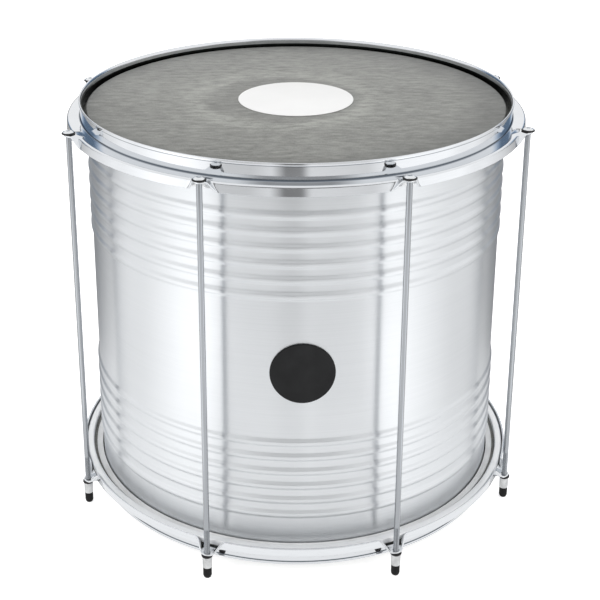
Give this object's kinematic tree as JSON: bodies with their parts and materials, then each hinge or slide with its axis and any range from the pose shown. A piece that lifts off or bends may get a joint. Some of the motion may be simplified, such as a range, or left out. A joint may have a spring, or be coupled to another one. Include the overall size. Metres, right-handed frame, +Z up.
{
  "type": "surdo drum",
  "caption": "Two-headed bass drum with a beaded aluminium shell, chromed hoops pressed with ears, full-length tension rods, and rubber-footed tuning nuts.",
  "frame": {"origin": "on the floor under the drum's axis, at the tips of the rubber feet", "axes": "+Z up along the drum's axis towards the playing head; -Y is the front, with the badge between two rods"},
  "size_m": [0.5024, 0.5024, 0.46],
  "materials": {
    "aluminium_shell": "brushed",
    "chrome_hoop": "polished",
    "chrome_rod": "polished",
    "satin_steel": "satin",
    "black_skin": "fine woven grain, matt",
    "satin_aluminium": "satin",
    "black_gloss": "gloss",
    "white_vinyl": "smooth",
    "black_rubber": "matt"
  },
  "bodies": {
    "drum": {"shell": "aluminium_shell", "badge": "black_gloss", "head_patch": "white_vinyl", "top_hoop": "chrome_hoop", "bottom_hoop": "chrome_hoop", "top_head": "black_skin", "bottom_head": "black_skin", "top_flesh_hoop": "satin_aluminium", "bottom_flesh_hoop": "satin_aluminium"},
    "rod_1": {"tension_rod_1": "chrome_rod", "head_washer_1": "black_gloss"},
    "washer_1": {"nut_washer_1": "black_gloss"},
    "nut_1": {"tuning_nut_1": "satin_steel", "rubber_foot_1": "black_rubber"},
    "rod_2": {"tension_rod_2": "chrome_rod", "head_washer_2": "black_gloss"},
    "washer_2": {"nut_washer_2": "black_gloss"},
    "nut_2": {"tuning_nut_2": "satin_steel", "rubber_foot_2": "black_rubber"},
    "rod_3": {"tension_rod_3": "chrome_rod", "head_washer_3": "black_gloss"},
    "washer_3": {"nut_washer_3": "black_gloss"},
    "nut_3": {"tuning_nut_3": "satin_steel", "rubber_foot_3": "black_rubber"},
    "rod_4": {"tension_rod_4": "chrome_rod", "head_washer_4": "black_gloss"},
    "washer_4": {"nut_washer_4": "black_gloss"},
    "nut_4": {"tuning_nut_4": "satin_steel", "rubber_foot_4": "black_rubber"},
    "rod_5": {"tension_rod_5": "chrome_rod", "head_washer_5": "black_gloss"},
    "washer_5": {"nut_washer_5": "black_gloss"},
    "nut_5": {"tuning_nut_5": "satin_steel", "rubber_foot_5": "black_rubber"},
    "rod_6": {"tension_rod_6": "chrome_rod", "head_washer_6": "black_gloss"},
    "washer_6": {"nut_washer_6": "black_gloss"},
    "nut_6": {"tuning_nut_6": "satin_steel", "rubber_foot_6": "black_rubber"},
    "rod_7": {"tension_rod_7": "chrome_rod", "head_washer_7": "black_gloss"},
    "washer_7": {"nut_washer_7": "black_gloss"},
    "nut_7": {"tuning_nut_7": "satin_steel", "rubber_foot_7": "black_rubber"},
    "rod_8": {"tension_rod_8": "chrome_rod", "head_washer_8": "black_gloss"},
    "washer_8": {"nut_washer_8": "black_gloss"},
    "nut_8": {"tuning_nut_8": "satin_steel", "rubber_foot_8": "black_rubber"}
  },
  "joints": [
    {"name": "rod_turn_1", "type": "hinge", "parent": "drum", "child": "rod_1", "pos_m": [0.09862, -0.23808, 0.446], "axis": [0, 0, 1], "continuous": true},
    {"name": "nut_travel_1", "type": "slide", "parent": "rod_1", "child": "washer_1", "axis": [0, 0, 1], "range_m": [-0.00601, 0]},
    {"name": "nut_turn_1", "type": "hinge", "parent": "washer_1", "child": "nut_1", "pos_m": [0.09862, -0.23808, 0.0262], "axis": [0, 0, 1], "range_deg": [-2160, 0]},
    {"name": "rod_turn_2", "type": "hinge", "parent": "drum", "child": "rod_2", "pos_m": [0.23808, -0.09862, 0.446], "axis": [0, 0, 1], "continuous": true},
    {"name": "nut_travel_2", "type": "slide", "parent": "rod_2", "child": "washer_2", "axis": [0, 0, 1], "range_m": [-0.00601, 0]},
    {"name": "nut_turn_2", "type": "hinge", "parent": "washer_2", "child": "nut_2", "pos_m": [0.23808, -0.09862, 0.0262], "axis": [0, 0, 1], "range_deg": [-2160, 0]},
    {"name": "rod_turn_3", "type": "hinge", "parent": "drum", "child": "rod_3", "pos_m": [0.23808, 0.09862, 0.446], "axis": [0, 0, 1], "continuous": true},
    {"name": "nut_travel_3", "type": "slide", "parent": "rod_3", "child": "washer_3", "axis": [0, 0, 1], "range_m": [-0.00601, 0]},
    {"name": "nut_turn_3", "type": "hinge", "parent": "washer_3", "child": "nut_3", "pos_m": [0.23808, 0.09862, 0.0262], "axis": [0, 0, 1], "range_deg": [-2160, 0]},
    {"name": "rod_turn_4", "type": "hinge", "parent": "drum", "child": "rod_4", "pos_m": [0.09862, 0.23808, 0.446], "axis": [0, 0, 1], "continuous": true},
    {"name": "nut_travel_4", "type": "slide", "parent": "rod_4", "child": "washer_4", "axis": [0, 0, 1], "range_m": [-0.00601, 0]},
    {"name": "nut_turn_4", "type": "hinge", "parent": "washer_4", "child": "nut_4", "pos_m": [0.09862, 0.23808, 0.0262], "axis": [0, 0, 1], "range_deg": [-2160, 0]},
    {"name": "rod_turn_5", "type": "hinge", "parent": "drum", "child": "rod_5", "pos_m": [-0.09862, 0.23808, 0.446], "axis": [0, 0, 1], "continuous": true},
    {"name": "nut_travel_5", "type": "slide", "parent": "rod_5", "child": "washer_5", "axis": [0, 0, 1], "range_m": [-0.00601, 0]},
    {"name": "nut_turn_5", "type": "hinge", "parent": "washer_5", "child": "nut_5", "pos_m": [-0.09862, 0.23808, 0.0262], "axis": [0, 0, 1], "range_deg": [-2160, 0]},
    {"name": "rod_turn_6", "type": "hinge", "parent": "drum", "child": "rod_6", "pos_m": [-0.23808, 0.09862, 0.446], "axis": [0, 0, 1], "continuous": true},
    {"name": "nut_travel_6", "type": "slide", "parent": "rod_6", "child": "washer_6", "axis": [0, 0, 1], "range_m": [-0.00601, 0]},
    {"name": "nut_turn_6", "type": "hinge", "parent": "washer_6", "child": "nut_6", "pos_m": [-0.23808, 0.09862, 0.0262], "axis": [0, 0, 1], "range_deg": [-2160, 0]},
    {"name": "rod_turn_7", "type": "hinge", "parent": "drum", "child": "rod_7", "pos_m": [-0.23808, -0.09862, 0.446], "axis": [0, 0, 1], "continuous": true},
    {"name": "nut_travel_7", "type": "slide", "parent": "rod_7", "child": "washer_7", "axis": [0, 0, 1], "range_m": [-0.00601, 0]},
    {"name": "nut_turn_7", "type": "hinge", "parent": "washer_7", "child": "nut_7", "pos_m": [-0.23808, -0.09862, 0.0262], "axis": [0, 0, 1], "range_deg": [-2160, 0]},
    {"name": "rod_turn_8", "type": "hinge", "parent": "drum", "child": "rod_8", "pos_m": [-0.09862, -0.23808, 0.446], "axis": [0, 0, 1], "continuous": true},
    {"name": "nut_travel_8", "type": "slide", "parent": "rod_8", "child": "washer_8", "axis": [0, 0, 1], "range_m": [-0.00601, 0]},
    {"name": "nut_turn_8", "type": "hinge", "parent": "washer_8", "child": "nut_8", "pos_m": [-0.09862, -0.23808, 0.0262], "axis": [0, 0, 1], "range_deg": [-2160, 0]}
  ],
  "couplings": [
    {"joint": "nut_travel_1", "follows": "nut_turn_1", "m_per_rad": 0.00015915},
    {"joint": "nut_travel_2", "follows": "nut_turn_2", "m_per_rad": 0.00015915},
    {"joint": "nut_travel_3", "follows": "nut_turn_3", "m_per_rad": 0.00015915},
    {"joint": "nut_travel_4", "follows": "nut_turn_4", "m_per_rad": 0.00015915},
    {"joint": "nut_travel_5", "follows": "nut_turn_5", "m_per_rad": 0.00015915},
    {"joint": "nut_travel_6", "follows": "nut_turn_6", "m_per_rad": 0.00015915},
    {"joint": "nut_travel_7", "follows": "nut_turn_7", "m_per_rad": 0.00015915},
    {"joint": "nut_travel_8", "follows": "nut_turn_8", "m_per_rad": 0.00015915}
  ]
}
